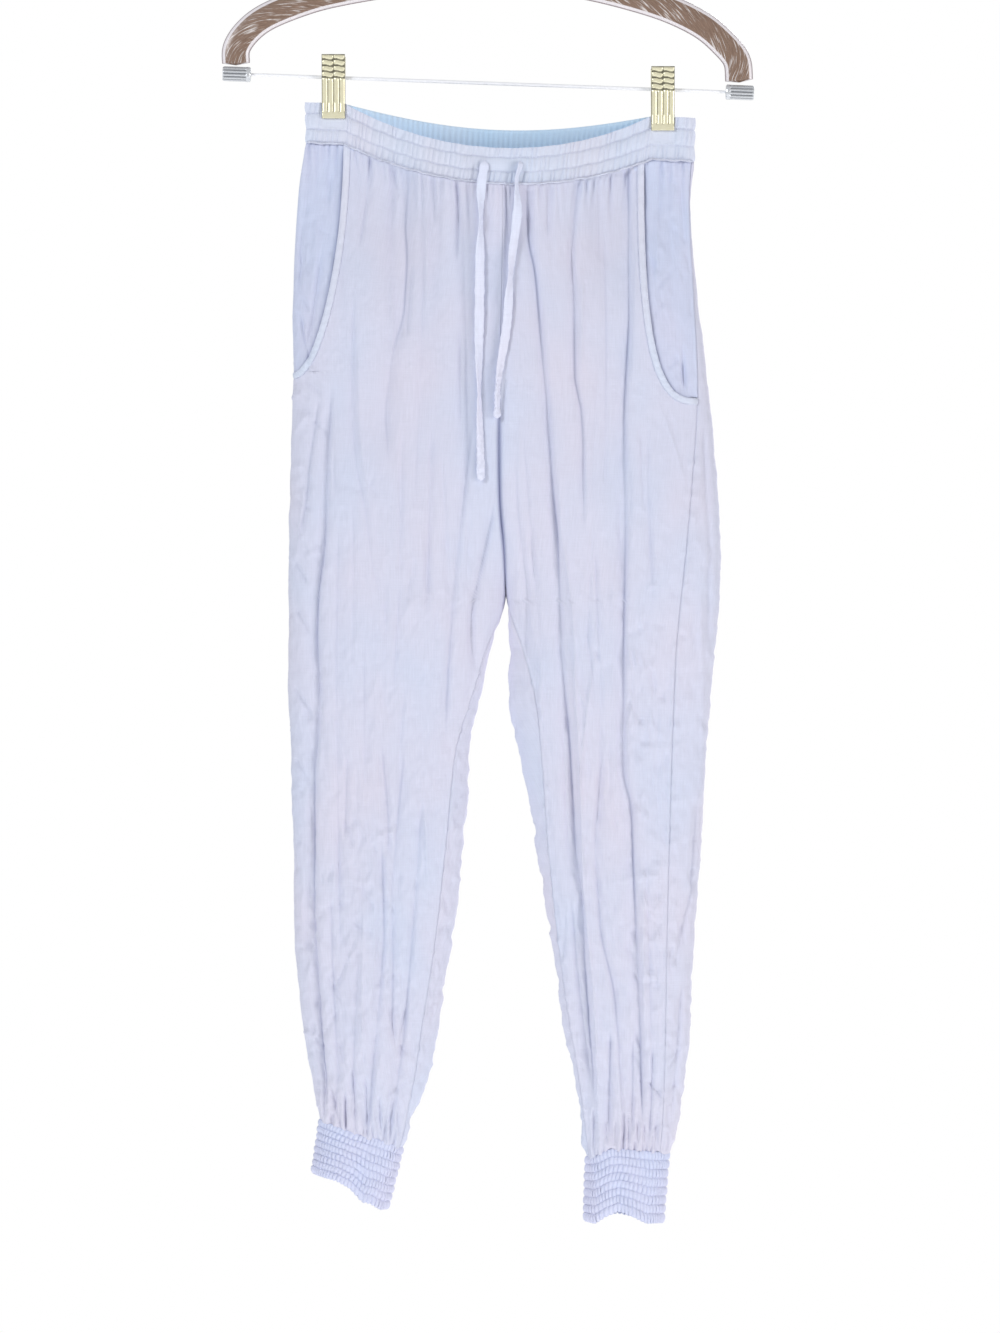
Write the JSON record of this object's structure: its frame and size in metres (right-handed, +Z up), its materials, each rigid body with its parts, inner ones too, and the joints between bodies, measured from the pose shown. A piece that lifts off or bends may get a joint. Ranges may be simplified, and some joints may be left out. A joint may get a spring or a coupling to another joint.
{
  "type": "jogger pants on a clip hanger",
  "caption": "Lightweight jogger pants with a gathered drawstring waist, scooped side pockets and smocked ankle cuffs, hanging from a clip hanger.",
  "frame": {"origin": "the inside top of the hanger's hook, where a rod carries it", "axes": "+X to the wearer's left, +Y to the back of the garment, +Z up; the garment hangs down along -Z and its front faces -Y"},
  "size_m": [0.4574, 0.0688, 1.1755],
  "materials": {
    "cloth": "thin plain-woven viscose, lavender white, softly creased",
    "pocket_cloth": "the same viscose, a shade deeper where it lies double in the pocket",
    "hanger_plastic": "glossy brown tinted plastic with slanting moulded ribs",
    "hanger_metal": "bright plated steel",
    "clip_metal": "pale gold plated steel with pressed ribs"
  },
  "bodies": {
    "root": {"waistband_front": "cloth", "waistband_back": "cloth", "front_right": "cloth", "back_right": "cloth", "pocket_facing_right": "pocket_cloth", "pocket_edge_right": "cloth", "front_left": "cloth", "back_left": "cloth", "pocket_facing_left": "pocket_cloth", "pocket_edge_left": "cloth", "cuff_right": "cloth", "cuff_left": "cloth", "drawstring_right": "cloth", "drawstring_left": "cloth", "hanger_hook": "hanger_metal", "hanger_collar": "hanger_metal", "hanger_arms": "hanger_plastic", "hanger_bar": "hanger_metal", "bar_socket_right": "hanger_metal", "bar_socket_left": "hanger_metal", "clip_right_front": "clip_metal", "clip_right_back": "clip_metal", "clip_right_spring": "hanger_metal", "clip_left_front": "clip_metal", "clip_left_back": "clip_metal", "clip_left_spring": "hanger_metal"}
  },
  "joints": []
}
